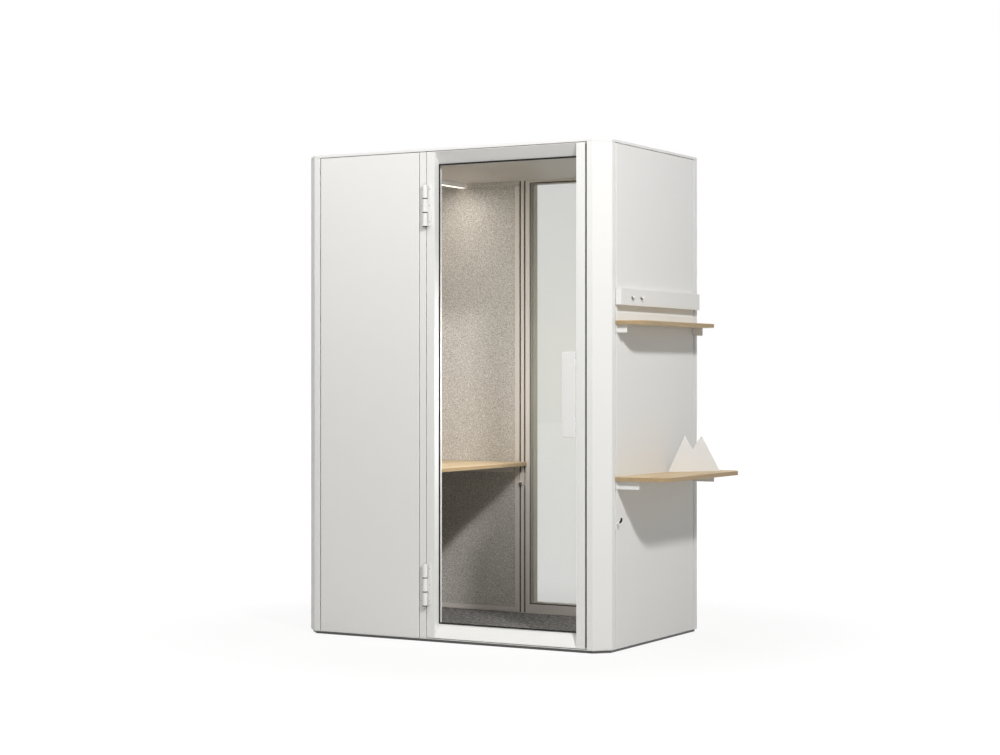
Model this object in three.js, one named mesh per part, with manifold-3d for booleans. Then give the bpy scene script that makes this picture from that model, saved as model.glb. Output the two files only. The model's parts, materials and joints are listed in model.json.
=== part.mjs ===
// Free-standing acoustic office pod: a one-person booth with a glazed swing door in front, a tall
// window behind, a desk inside, and shelves, a rail and hooks on its right side.
// Millimetres, +Z up. The front faces -Y. The origin is the middle of the footprint, on the floor.

import * as THREE from 'three';
import { mergeVertices } from 'three/addons/utils/BufferGeometryUtils.js';
import Module from 'manifold-3d';

const wasm = await Module();
wasm.setup();

// Body
const bodyWidth = 1620;
const bodyDepth = 1040;
const bodyHeight = 2280;
const wallThickness = 100;
const skinThickness = 30; // outer panels and corner posts
const liningThickness = 20; // felt inside
const postLeg = 95;
const postChamfer = 65;
const panelGap = 6; // open joint beside a post
const edgeBevel = 1.5;
const clearance = 0.3; // between pieces that touch

// Base and floor
const plinthHeight = 13;
const plinthInset = 10;
const plinthBar = 60;
const plinthCrossBar = 120;
const traySheet = 3;
const deckThickness = 17;
const carpetThickness = 8.4;

// Roof
const capThickness = 12;
const shadowGap = 3; // dark line under the cap
const roofCoreHeight = 46;
const ceilingThickness = 12;

// Front layout and door
const frontPanelWidth = 550;
const jambGap = 5;
const jambWidth = 34;
const hingeGap = 4;
const latchGap = 9;
const latchJambSetback = 3; // the jamb behind the post stands this much nearer the door
const sillGap = 3;
const doorThickness = 65;
const stileWidth = 43;
const topRailHeight = 55;
const bottomRailHeight = 63;
const railLip = 2; // flat band before a rail slopes in
const glassRecess = 40;
const glassThickness = 8;
const glassBite = 8; // pane edge held in its frame
const gasketWidth = 7;
const gasketThickness = 3;
const sealThickness = 8.4;
const sealWidth = 12;
const stopLap = 16; // how far the stops lap the door

// Pull plate, flush with the door's face
const pullWidth = 66;
const pullHeight = 380;
const pullMiddle = 1146;
const pullThickness = 6;
const pullGap = 6;
const pullLugDepth = 18;
const pullLugHeight = 36;
const pullLugOverlap = 14;
const pullLugInset = 50;

// Hinges
const hingeHeight = 194;
const hingeEndDistance = 264; // from the floor, and from the roof, to a hinge's middle
const barrelRadius = 11.5;
const pinRadius = 4;
const pinPlay = 0.3;
const pinHeadRadius = 8;
const pinHeadHeight = 3;
const leafReach = 28; // from the pin to a leaf's outer edge
const leafThickness = 3;
const leafChamfer = 8;
const knuckleGap = 1;

// Back window and the grooved upright beside it
const backPanelWidth = 555;
const uprightWidth = 34;
const uprightStrip = 17;
const uprightGroove = 12;
const windowFace = 24;
const windowSillHeight = 69;
const windowHeadHeight = 66;
const windowGlassSetback = 20;

// Linings
const trimWidth = 25;
const trimProud = 1.5;

// Ventilation and light
const fanSize = 120;
const fanHeight = 25;
const fanBoreRadius = 57;
const fanPitch = 160;
const fanSideInset = 150; // from the right lining
const fanBackInset = 250; // from the back lining
const rotorRadius = 53;
const hubRadius = 19;
const hubHeight = 16;
const shaftRadius = 3;
const shaftPlay = 0.5;
const bossHeight = 4;
const strutWidth = 5;
const bladeCount = 7;
const bladeChord = 19;
const bladeSheet = 2;
const bladeRootPitch = 48;
const bladeTipPitch = 26;
const grilleWidth = 150;
const grilleSheet = 3;
const grilleMargin = 14;
const ventSlot = 6;
const ventPitch = 14;
const lightSideInset = 237; // from the left lining
const lightWidth = 38;
const lightHeight = 22;
const lightSheet = 2;
const lightEndGap = 12;
const diffuserHeight = 6;

// Desk
const deskTop = 798;
const deskThickness = 19;
const deskGap = 1;
const deskCornerRadius = 12;
const ledgerLeg = 34;
const ledgerSheet = 4;

// Right side: bracket channels, shelves, rail, hook
const channelGap = 8; // joint that takes the bracket tabs
const channelDepth = 14;
const channelWidth = 5;
const tabThickness = 4;
const tabReach = 10; // into a channel
const tabHeight = 13;
const shelfEndInset = 90; // from a body face to a shelf's end
const lowerShelfTop = 781;
const lowerShelfThickness = 20;
const lowerShelfDepth = 250;
const upperShelfTop = 1476;
const upperShelfThickness = 18;
const upperShelfDepth = 127;
const shelfCornerRadius = 75;
const armHeight = 36;
const armSheet = 4;
const armInset = 19; // from a shelf's end to its arm
const lowerArmReach = 110;
const upperArmReach = 50;
const upstandHeight = 36;
const railFoot = 1545;
const railHeight = 75;
const railProud = 28;
const pegRadius = 5;
const pegHeadRadius = 7;
const pegLength = 22;
const pegTilt = 20;
const pegFirstInset = 110; // from the rail's front end
const pegSpacing = 93;
const pegHeight = 31; // above the rail's foot
const hookFoot = 543;
const hookHeight = 134;
const hookWidth = 14;
const hookSheet = 4;
const hookReach = 28;
const hookRodRadius = 4;
const hookRise = 22;
const hookArmHeight = 30; // above the hook's foot

// Hook on the inner upright
const innerHookFoot = 682;
const innerHookHeight = 60;
const innerHookWidth = 26;
const innerHookSheet = 3;
const innerHookTongue = 2;

// Bookend on the lower shelf
const bookendLength = 275;
const bookendPeak = 168;
const bookendValley = 102;
const bookendSheet = 3;
const bookendFoot = 70;
const bookendTurn = 53; // degrees from +X to the sheet's run
const bookendWallGap = 14;
const bookendEndDistance = 330; // from the shelf's back end

// Mains inlet low on the back
const inletSideInset = 210; // from the left face
const inletZ = 140;
const inletRadius = 16;
const inletFlange = 24;
const inletLength = 10;
const inletBore = 6;
const inletBoreDepth = 8;

// Colours
const finish = (color, roughness, metalness = 0) =>
  new THREE.MeshStandardMaterial({ color, roughness, metalness });
const whiteSteel = finish(0xe9e8e4, 0.45);
const beigeSteel = finish(0xcdc3b8, 0.45);
const darkSteel = finish(0x2c2c2b, 0.6, 0.4);
const bareSteel = finish(0xb9babb, 0.35, 0.9);
const oak = finish(0xe0bd88, 0.55);
const felt = finish(0xbab0a5, 0.95);
const carpetPile = finish(0x5a5856, 1);
const clearGlass = finish(0xdfe6e2, 0.05);
const blackRubber = finish(0x1a1a1a, 0.8);
const mineralBoard = finish(0xb7ab8c, 0.95);
const ceilingPaint = finish(0xb9b2a6, 0.8);
const blackPlastic = finish(0x222324, 0.55);
const opalPlastic = finish(0xfaf8f2, 0.4);

// Places worked out from the driving dimensions
const halfWidth = bodyWidth / 2;
const halfDepth = bodyDepth / 2;
const innerX = halfWidth - wallThickness;
const innerY = halfDepth - wallThickness;
const liningX = innerX + liningThickness;
const liningY = innerY + liningThickness;
const skinX = halfWidth - skinThickness;
const skinY = halfDepth - skinThickness;
const flangeX = halfWidth - postLeg;
const flangeY = halfDepth - postLeg;
const postInner = postChamfer + skinThickness * (Math.SQRT2 - 1);

const trayTop = plinthHeight + traySheet;
const wallFoot = trayTop + clearance;
const deckTop = wallFoot + deckThickness;
const floorTop = deckTop + clearance + carpetThickness;
const capFoot = bodyHeight - capThickness;
const coreTop = capFoot - clearance;
const panelTop = capFoot - shadowGap;
const coreFoot = coreTop - roofCoreHeight;
const ceilingTop = coreFoot - clearance;
const ceilingFoot = ceilingTop - ceilingThickness;
const liningFoot = floorTop + clearance;
const liningTop = ceilingFoot - clearance;

const panelLeft = panelGap - flangeX;
const frontPanelRight = panelLeft + frontPanelWidth;
const jambLeft = frontPanelRight + jambGap;
const jambRight = jambLeft + jambWidth;
const backPanelRight = panelLeft + backPanelWidth;
const uprightLeft = backPanelRight + jambGap;
const uprightRight = uprightLeft + uprightWidth;

const doorLeft = jambRight + hingeGap;
const stopLeft = doorLeft + stopLap;
const doorRight = flangeX - latchGap;
const doorFoot = trayTop + sillGap;
const doorTop = panelTop;
const doorFront = -halfDepth;
const doorBack = doorFront + doorThickness;
const stopFront = doorBack + sealThickness + 2 * clearance;
const openLeft = doorLeft + stileWidth;
const openRight = doorRight - stileWidth;
const openFoot = doorFoot + bottomRailHeight;
const openTop = doorTop - topRailHeight;
const paneFront = doorFront + glassRecess;
const paneBack = paneFront + glassThickness;

const hingeX = jambRight + hingeGap / 2;
const hingeY = doorFront - clearance - barrelRadius;

const fanPlaceX = innerX - fanSideInset;
const fanPlaceY = innerY - fanBackInset;
const fanDuct = [
  [fanPlaceX - fanSize / 2 - clearance, fanPlaceX + fanSize / 2 + clearance],
  [fanPlaceY - (fanSize + fanPitch) / 2 - clearance, fanPlaceY + (fanSize + fanPitch) / 2 + clearance],
];

const radians = THREE.MathUtils.degToRad;
const pod = new THREE.Group();

// Adds one named piece to the pod.
function add(name, geometry, material) {
  const mesh = new THREE.Mesh(geometry, material);
  mesh.name = name;
  pod.add(mesh);
}

// Outlines

const polygon = (points) => new THREE.Shape(points.map(([a, b]) => new THREE.Vector2(a, b)));

const rectangle = ([a0, a1], [b0, b1]) => polygon([[a0, b0], [a1, b0], [a1, b1], [a0, b1]]);

function withHoles(shape, holes) {
  shape.holes.push(...holes);
  return shape;
}

// A rectangular border, each side as wide as given.
const border = ([a0, a1], [b0, b1], { side, foot = side, top = side }) =>
  withHoles(rectangle([a0, a1], [b0, b1]), [rectangle([a0 + side, a1 - side], [b0 + foot, b1 - top])]);

// A rectangle whose corners on the far side of a are rounded.
function roundedFarSide([a0, a1], [b0, b1], radius) {
  const shape = new THREE.Shape();
  shape.moveTo(a0, b0);
  shape.lineTo(a1 - radius, b0);
  shape.absarc(a1 - radius, b0 + radius, radius, -Math.PI / 2, 0);
  shape.absarc(a1 - radius, b1 - radius, radius, 0, Math.PI / 2);
  shape.lineTo(a0, b1);
  return shape;
}

const circle = (a, b, radius) => new THREE.Shape().absarc(a, b, radius, 0, 2 * Math.PI);

// The pod's plan, drawn in from its faces by inset, with the chamfered corners.
function plan(inset) {
  const x = halfWidth - inset;
  const y = halfDepth - inset;
  const c = postChamfer - inset * (2 - Math.SQRT2);
  return polygon([
    [-x + c, -y], [x - c, -y], [x, -y + c], [x, y - c],
    [x - c, y], [-x + c, y], [-x, y - c], [-x, -y + c],
  ]);
}

// The inside of the room between its linings.
const roomPlan = () =>
  rectangle([clearance - innerX, innerX - clearance], [clearance - innerY, innerY - clearance]);

// Parallel slots, running along a, spaced evenly along b inside the margins.
function ventSlots([a0, a1], [b0, b1]) {
  const count = Math.floor((b1 - b0 - ventSlot) / ventPitch) + 1;
  const first = (b0 + b1 - (count - 1) * ventPitch - ventSlot) / 2;
  return Array.from({ length: count }, (_, i) => {
    const b = first + i * ventPitch;
    return rectangle([a0, a1], [b, b + ventSlot]);
  });
}

// Solids

function extrude(shape, length, bevel, curveSegments) {
  return new THREE.ExtrudeGeometry(shape, {
    depth: length - 2 * bevel,
    bevelEnabled: bevel > 0,
    bevelThickness: bevel,
    bevelSize: bevel,
    bevelOffset: -bevel,
    bevelSegments: 1,
    curveSegments,
  }).translate(0, 0, bevel);
}

// An outline in (y, z) carried along X, in (x, z) along Y, or in (x, y) along Z.
const carryX = (shape, [x0, x1], bevel = 0) =>
  extrude(shape, x1 - x0, bevel, 8).rotateX(Math.PI / 2).rotateZ(Math.PI / 2).translate(x0, 0, 0);
const carryY = (shape, [y0, y1], bevel = 0) =>
  extrude(shape, y1 - y0, bevel, 8).rotateX(Math.PI / 2).translate(0, y1, 0);
const carryZ = (shape, [z0, z1], bevel = 0, curveSegments = 8) =>
  extrude(shape, z1 - z0, bevel, curveSegments).translate(0, 0, z0);

const block = ([x0, x1], yRange, zRange) => carryX(rectangle(yRange, zRange), [x0, x1]);

// A profile of (radius, height) points turned about Z.
const turn = (profile, segments = 20) =>
  new THREE.LatheGeometry(profile.map(([r, z]) => new THREE.Vector2(r, z)), segments).rotateX(Math.PI / 2);

const disc = (radius, z0, z1, segments) =>
  turn([[0, z0], [radius, z0], [radius, z1], [0, z1]], segments);

const sleeve = (inner, outer, z0, z1, segments) =>
  turn([[inner, z0], [outer, z0], [outer, z1], [inner, z1], [inner, z0]], segments);

function bare(geometry) {
  const copy = geometry.index ? geometry.toNonIndexed() : geometry.clone();
  copy.deleteAttribute('uv');
  copy.deleteAttribute('normal');
  return copy;
}

function toSolid(geometry) {
  const merged = mergeVertices(bare(geometry), 1e-3);
  return new wasm.Manifold(new wasm.Mesh({
    numProp: 3,
    vertProperties: merged.attributes.position.array,
    triVerts: Uint32Array.from(merged.index.array),
  }));
}

function fromSolid(solid) {
  const { vertProperties, triVerts } = solid.getMesh();
  const geometry = new THREE.BufferGeometry();
  geometry.setAttribute('position', new THREE.BufferAttribute(vertProperties, 3));
  geometry.setIndex(new THREE.BufferAttribute(triVerts, 1));
  geometry.computeVertexNormals();
  return geometry;
}

const join = (first, ...others) =>
  fromSolid(others.reduce((solid, other) => solid.add(toSolid(other)), toSolid(first)));

const cut = (first, ...others) =>
  fromSolid(others.reduce((solid, other) => solid.subtract(toSolid(other)), toSolid(first)));

const mirrorY = (points) => points.map(([x, y]) => [x, -y]);

// Base: recessed plinth frame with a cross bar, tray, deck and carpet

function addBase() {
  const z = [0, plinthHeight - clearance];
  const ring = carryZ(withHoles(plan(plinthInset), [plan(plinthInset + plinthBar)]), z);
  const reach = halfDepth - plinthInset - plinthBar / 2;
  const crossBar = block([-plinthCrossBar / 2, plinthCrossBar / 2], [-reach, reach], z);
  add('base_plinth', join(ring, crossBar), darkSteel);
  add('base_tray', carryZ(plan(0), [plinthHeight, trayTop]), whiteSteel);
  add('floor_deck', carryZ(roomPlan(), [wallFoot, deckTop]), mineralBoard);
  add('carpet', carryZ(roomPlan(), [deckTop + clearance, floorTop]), carpetPile);
}

// Corner posts: a thick skin bent round the chamfered corner

function addPosts() {
  const section = [
    [postLeg, 0], [postChamfer, 0], [0, postChamfer], [0, postLeg],
    [skinThickness, postLeg], [skinThickness, postInner],
    [postInner, skinThickness], [postLeg, skinThickness],
  ];
  for (const [end, sideY] of [['front', -1], ['back', 1]]) {
    for (const [side, sideX] of [['left', -1], ['right', 1]]) {
      const corner = section.map(([u, v]) => [sideX * (halfWidth - u), sideY * (halfDepth - v)]);
      add(`corner_post_${end}_${side}`, carryZ(polygon(corner), [wallFoot, coreTop]), whiteSteel);
    }
  }
}

// Walls: a sandwich panel each, whose core runs on behind the posts, and a felt lining inside

function addWalls() {
  const coreBack = wallThickness - liningThickness - clearance;
  const step = skinThickness + clearance;
  // A panel's plan, along the wall and in from its face.
  const section = ([face0, face1], [core0, core1]) => [
    [face0, edgeBevel], [face0 + edgeBevel, 0], [face1 - edgeBevel, 0], [face1, edgeBevel],
    [face1, step], [core1, step], [core1, coreBack], [core0, coreBack], [core0, step], [face0, step],
  ];
  const panel = (points) => carryZ(polygon(points), [wallFoot, panelTop]);
  const sideCore = [postInner + clearance - halfDepth, halfDepth - postInner - clearance];
  const plainFace = [panelGap - flangeY, flangeY - panelGap];
  const channelledFace = [channelGap - flangeY, flangeY - channelGap];

  const front = section([panelLeft, frontPanelRight], [-liningX, jambLeft - clearance]);
  add('wall_panel_front', panel(front.map(([s, d]) => [s, d - halfDepth])), whiteSteel);
  const back = section([panelLeft, backPanelRight], [-liningX, uprightLeft - clearance]);
  add('wall_panel_back', panel(back.map(([s, d]) => [s, halfDepth - d])), whiteSteel);
  const left = section(plainFace, sideCore);
  add('wall_panel_left', panel(left.map(([s, d]) => [d - halfWidth, s])), whiteSteel);
  const right = section(channelledFace, sideCore);
  const rightPanel = panel(right.map(([s, d]) => [halfWidth - d, s]));
  add('wall_panel_right', cut(rightPanel, channel(-1), channel(1)), whiteSteel);

  const liningZ = [liningFoot, liningTop];
  const frontRun = [clearance - innerX, jambLeft - clearance];
  const backRun = [clearance - innerX, uprightLeft - clearance];
  const sideRun = [clearance - innerY, innerY - clearance];
  const inset = trimWidth + clearance;
  const framedRun = [backRun[0] + inset, backRun[1] - inset];
  const framedZ = [liningZ[0] + inset, liningZ[1] - inset];
  add('felt_front', carryY(rectangle(frontRun, liningZ), [-liningY, -innerY], edgeBevel), felt);
  add('felt_left', carryX(rectangle(sideRun, liningZ), [-liningX, -innerX], edgeBevel), felt);
  add('felt_right', carryX(rectangle(sideRun, liningZ), [innerX, liningX], edgeBevel), felt);
  add('felt_back', carryY(rectangle(framedRun, framedZ), [innerY, liningY], edgeBevel), felt);
  add('felt_back_trim',
    carryY(border(backRun, liningZ, { side: trimWidth }), [innerY - trimProud, liningY]), beigeSteel);
}

// Door surround: hinge jamb, latch jamb, head and threshold, with the stops that the seal meets

function addDoorSurround() {
  const stopRight = doorRight - stopLap;
  const hingeJamb = [
    [jambLeft, doorFront], [jambRight, doorFront], [jambRight, stopFront],
    [stopLeft, stopFront], [stopLeft, -innerY], [jambLeft, -innerY],
  ];
  add('hinge_jamb', carryZ(polygon(hingeJamb), [wallFoot, panelTop]), whiteSteel);

  const latchFace = flangeX - latchJambSetback;
  const latchJamb = [
    [latchFace, clearance - skinY], [liningX - clearance, clearance - skinY], [liningX - clearance, -innerY],
    [stopRight, -innerY], [stopRight, stopFront], [latchFace, stopFront],
  ];
  add('latch_jamb', carryZ(polygon(latchJamb), [wallFoot, coreTop]), whiteSteel);

  const between = [stopLeft + clearance, stopRight - clearance];
  add('door_head', block(between, [stopFront, -innerY], [doorTop - stopLap, coreTop]), whiteSteel);
  const sill = [
    [stopFront, wallFoot], [-innerY, wallFoot], [-innerY, floorTop],
    [stopFront + edgeBevel, floorTop], [stopFront, floorTop - edgeBevel],
  ];
  add('threshold', carryX(polygon(sill), between), bareSteel);
}

// Door: two square stiles, two sloped rails, the pane in their groove, gasket, seal and pull plate

function addDoor() {
  const grooveFront = paneFront - clearance;
  const grooveBack = paneBack + clearance;
  const grooveDepth = glassBite + clearance;
  const stile = (outer, inner) => {
    const bottom = inner + Math.sign(outer - inner) * grooveDepth;
    return carryZ(polygon([
      [outer, doorFront], [inner, doorFront], [inner, grooveFront], [bottom, grooveFront],
      [bottom, grooveBack], [inner, grooveBack], [inner, doorBack], [outer, doorBack],
    ]), [doorFoot, doorTop]);
  };
  add('door_hinge_stile', stile(doorLeft, openLeft), whiteSteel);
  add('door_latch_stile', stile(doorRight, openRight), whiteSteel);

  const rail = (outer, inner) => {
    const away = Math.sign(outer - inner);
    const bottom = inner + away * grooveDepth;
    return carryX(polygon([
      [doorFront, outer], [doorFront, outer - away * railLip], [grooveFront, inner], [grooveFront, bottom],
      [grooveBack, bottom], [grooveBack, inner], [doorBack, inner], [doorBack, outer],
    ]), [openLeft + clearance, openRight - clearance]);
  };
  add('door_top_rail', rail(doorTop, openTop), whiteSteel);
  add('door_bottom_rail', rail(doorFoot, openFoot), whiteSteel);

  const paneX = [openLeft - glassBite, openRight + glassBite];
  const paneZ = [openFoot - glassBite, openTop + glassBite];
  add('door_glass', block(paneX, [paneFront, paneBack], paneZ), clearGlass);

  const gasket = border([openLeft + clearance, openRight - clearance],
    [openFoot + clearance, openTop - clearance], { side: gasketWidth });
  add('door_gasket', carryY(gasket, [grooveFront - gasketThickness, grooveFront]), blackRubber);

  const seal = border([doorLeft + clearance, doorRight - clearance],
    [doorFoot + clearance, doorTop - clearance], { side: sealWidth });
  add('door_seal', carryY(seal, [doorBack + clearance, stopFront - clearance]), blackRubber);
}

function addPullPlate() {
  const right = openRight - pullGap;
  const z = [pullMiddle - pullHeight / 2, pullMiddle + pullHeight / 2];
  const plateBack = doorFront + pullThickness;
  const plate = carryY(rectangle([right - pullWidth, right], z), [doorFront, plateBack], edgeBevel);
  const lug = (middle) => block(
    [right - pullLugOverlap, openRight - clearance],
    [plateBack - edgeBevel, plateBack + pullLugDepth],
    [middle - pullLugHeight / 2, middle + pullLugHeight / 2],
  );
  add('pull_plate', join(plate, lug(z[0] + pullLugInset), lug(z[1] - pullLugInset)), whiteSteel);
}

// A three-knuckle hinge on the front face: the jamb leaf carries the end knuckles, the door leaf the middle

function addHinge(name, middle) {
  const foot = middle - hingeHeight / 2;
  const top = middle + hingeHeight / 2;
  const third = (hingeHeight - 2 * knuckleGap) / 3;
  const knuckles = [0, 1, 2].map((i) => {
    const z0 = foot + i * (third + knuckleGap);
    return [z0, z0 + third];
  });
  const plateY = [doorFront - clearance - leafThickness, doorFront - clearance];
  const rootReach = barrelRadius + knuckleGap;

  const leaf = (side, owned) => {
    const outer = hingeX + side * leafReach;
    const root = hingeX + side * rootReach;
    const shoulder = outer - side * leafChamfer;
    const plate = carryY(polygon([
      [root, foot], [shoulder, foot], [outer, foot + leafChamfer],
      [outer, top - leafChamfer], [shoulder, top], [root, top],
    ]), plateY);
    const webs = owned.map((z) => carryY(rectangle([hingeX, root].sort((a, b) => a - b), z), plateY));
    const barrels = owned.map(([z0, z1]) =>
      disc(barrelRadius, z0, z1, 24).translate(hingeX, hingeY, 0));
    const bore = disc(pinRadius + pinPlay, foot - 1, top + 1).translate(hingeX, hingeY, 0);
    return cut(join(plate, ...webs, ...barrels), bore);
  };
  add(`${name}_jamb_leaf`, leaf(-1, [knuckles[0], knuckles[2]]), whiteSteel);
  add(`${name}_door_leaf`, leaf(1, [knuckles[1]]), whiteSteel);
}

// A pin through the three knuckles, headed at both ends
function hingePin(middle) {
  const headFoot = middle - hingeHeight / 2 - clearance;
  const headTop = middle + hingeHeight / 2 + clearance;
  return turn([
    [0, headFoot - pinHeadHeight], [pinHeadRadius, headFoot - pinHeadHeight], [pinHeadRadius, headFoot],
    [pinRadius, headFoot], [pinRadius, headTop], [pinHeadRadius, headTop],
    [pinHeadRadius, headTop + pinHeadHeight], [0, headTop + pinHeadHeight],
  ]).translate(hingeX, hingeY, 0);
}

function addHinges() {
  const lower = hingeEndDistance;
  const upper = bodyHeight - hingeEndDistance;
  addHinge('lower_hinge', lower);
  addHinge('upper_hinge', upper);
  add('lower_hinge_pin', hingePin(lower), bareSteel);
  add('upper_hinge_pin', hingePin(upper), bareSteel);
}

// Back wall: the grooved upright, the window frame with its rebate, bead and pane

function addBackWindow() {
  const stripLeft = (uprightLeft + uprightRight - uprightStrip) / 2;
  const grooveY = innerY + uprightGroove;
  const upright = [
    [uprightLeft, halfDepth], [uprightLeft, grooveY], [stripLeft, grooveY], [stripLeft, innerY],
    [stripLeft + uprightStrip, innerY], [stripLeft + uprightStrip, grooveY],
    [uprightRight, grooveY], [uprightRight, halfDepth],
  ];
  add('back_upright', carryZ(polygon(upright), [wallFoot, panelTop]), beigeSteel);

  const x = [uprightRight + clearance, innerX - clearance];
  const z = [wallFoot, panelTop];
  const face = { side: windowFace, foot: windowSillHeight, top: windowHeadHeight };
  const paneY = [innerY + windowGlassSetback, innerY + windowGlassSetback + glassThickness];
  const rebate = {
    side: windowFace + glassBite, foot: windowSillHeight + glassBite, top: windowHeadHeight + glassBite,
  };
  const shoulder = paneY[1] + clearance;
  const outerPart = carryY(border(x, z, rebate), [shoulder, skinY]);
  const innerPart = carryY(border(x, z, face), [innerY, shoulder + edgeBevel]);
  add('window_frame', join(outerPart, innerPart), beigeSteel);

  const paneX = [x[0] + windowFace + clearance, x[1] - windowFace - clearance];
  const paneZ = [z[0] + windowSillHeight + clearance, z[1] - windowHeadHeight - clearance];
  add('window_glass', block(paneX, [paneY[0], paneY[1]], paneZ), clearGlass);
  add('window_gasket', carryY(border(paneX, paneZ, { side: glassBite }),
    [innerY + gasketThickness, paneY[0] - clearance]), blackRubber);

  const hookX = (uprightLeft + uprightRight) / 2;
  addInnerHook(hookX, stripLeft, grooveY);
}

// A clip that hangs over the upright's strip, with tongues in both grooves and a round peg
function addInnerHook(middle, stripLeft, grooveY) {
  const plateBack = innerY - trimProud - clearance;
  const plateFront = plateBack - innerHookSheet;
  const halfHook = innerHookWidth / 2;
  const shape = new THREE.Shape();
  shape.moveTo(middle - halfHook, innerHookFoot + innerHookHeight);
  shape.lineTo(middle - halfHook, innerHookFoot + halfHook);
  shape.absarc(middle, innerHookFoot + halfHook, halfHook, Math.PI, 2 * Math.PI);
  shape.lineTo(middle + halfHook, innerHookFoot + innerHookHeight);
  const plate = carryY(shape, [plateFront, plateBack]);
  const tongueZ = [innerHookFoot + innerHookHeight / 2, innerHookFoot + innerHookHeight];
  const tongueY = [plateFront + innerHookSheet / 2, grooveY - clearance];
  const stripRight = stripLeft + uprightStrip;
  const tongues = [
    [stripLeft - clearance - innerHookTongue, stripLeft - clearance],
    [stripRight + clearance, stripRight + clearance + innerHookTongue],
  ].map((x) => block(x, tongueY, tongueZ));
  const peg = pegSolid()
    .rotateX(Math.PI / 2 - radians(pegTilt))
    .translate(middle, plateFront + innerHookSheet / 2, innerHookFoot + halfHook);
  add('inner_hook', join(plate, ...tongues, peg), beigeSteel);
}

// A short peg with a round head, along +Z from its root
const pegSolid = () => turn([
  [0, 0], [pegRadius, 0], [pegRadius, pegLength - pegHeadRadius],
  [pegHeadRadius, pegLength - pegHeadRadius], [pegHeadRadius, pegLength - pegHeadRadius / 3],
  [pegHeadRadius * 0.7, pegLength], [0, pegLength],
], 14);

// Roof: slotted cap, core, ceiling, two fans in a duct through the core, and the grille below

function addRoof() {
  const [slotsX, slotsY] = fanDuct.map(([from, to]) => [from + grilleMargin, to - grilleMargin]);
  add('roof_cap', carryZ(withHoles(plan(0), ventSlots(slotsX, slotsY)), [capFoot, bodyHeight]), whiteSteel);

  const roofBoard = withHoles(roomPlan(), [rectangle(...fanDuct)]);
  add('roof_core', carryZ(roofBoard, [coreFoot, coreTop]), mineralBoard);

  const fans = [['front', -fanPitch / 2], ['back', fanPitch / 2]];
  const bores = fans.map(([, y]) => circle(fanPlaceX, fanPlaceY + y, fanBoreRadius));
  add('ceiling_panel', carryZ(withHoles(roomPlan(), bores), [ceilingFoot, ceilingTop]), ceilingPaint);
  const tray = fanTray(fans.map(([, y]) => y));
  add('fan_tray', tray.translate(fanPlaceX, fanPlaceY, coreFoot), blackPlastic);
  for (const [name, y] of fans) {
    add(`fan_rotor_${name}`, fanRotor().translate(fanPlaceX, fanPlaceY + y, coreFoot), blackPlastic);
  }

  const grilleX = [fanPlaceX - grilleWidth / 2, fanPlaceX + grilleWidth / 2];
  const grilleHalf = (grilleWidth + fanPitch) / 2;
  const grille = rectangle(grilleX, [fanPlaceY - grilleHalf, fanPlaceY + grilleHalf]);
  const grilleZ = [ceilingFoot - clearance - grilleSheet, ceilingFoot - clearance];
  add('ceiling_grille', carryZ(withHoles(grille, ventSlots(slotsX, slotsY)), grilleZ), beigeSteel);
}

// A blade grows along +X from the hub and loses pitch towards its tip.
function fanBlade() {
  const root = hubRadius - bladeSheet;
  const length = rotorRadius - root;
  const section = rectangle([-bladeSheet / 2, bladeSheet / 2], [-bladeChord / 2, bladeChord / 2]);
  const blade = new THREE.ExtrudeGeometry(section, { depth: length, steps: 3, bevelEnabled: false });
  const place = blade.attributes.position;
  for (let i = 0; i < place.count; i += 1) {
    const share = place.getZ(i) / length;
    const pitch = radians(90 - THREE.MathUtils.lerp(bladeRootPitch, bladeTipPitch, share));
    const [a, b] = [place.getX(i), place.getY(i)];
    place.setXYZ(i, root + place.getZ(i),
      a * Math.cos(pitch) - b * Math.sin(pitch), a * Math.sin(pitch) + b * Math.cos(pitch));
  }
  return blade;
}

// One moulded tray holds both fans. Each bore has a boss and a shaft on four struts.
const bossZ = [fanHeight - bossHeight, fanHeight];
const rotorTop = bossZ[0] - shaftPlay;
const rotorFoot = rotorTop - hubHeight;

function fanTray(places) {
  const half = fanSize / 2;
  const bores = places.map((y) => circle(0, y, fanBoreRadius));
  const reach = Math.max(...places) + half;
  const casing = carryZ(withHoles(rectangle([-half, half], [-reach, reach]), bores), [0, fanHeight], 0, 9);
  const spider = places.flatMap((y) => {
    const span = [bladeSheet - half, half - bladeSheet];
    const strut = block(span, [-strutWidth / 2, strutWidth / 2], bossZ);
    const shaft = disc(shaftRadius, rotorFoot + bladeSheet, fanHeight - bossHeight / 2, 12);
    const arms = [strut, strut.clone().rotateZ(Math.PI / 2)];
    return [disc(hubRadius, ...bossZ), shaft, ...arms].map((piece) => piece.translate(0, y, 0));
  });
  return join(casing, ...spider);
}

function fanRotor() {
  const hub = sleeve(shaftRadius + shaftPlay, hubRadius, rotorFoot, rotorTop);
  const blades = Array.from({ length: bladeCount }, (_, i) =>
    fanBlade().rotateZ((i * 2 * Math.PI) / bladeCount).translate(0, 0, (rotorFoot + rotorTop) / 2));
  return join(hub, ...blades);
}

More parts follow.
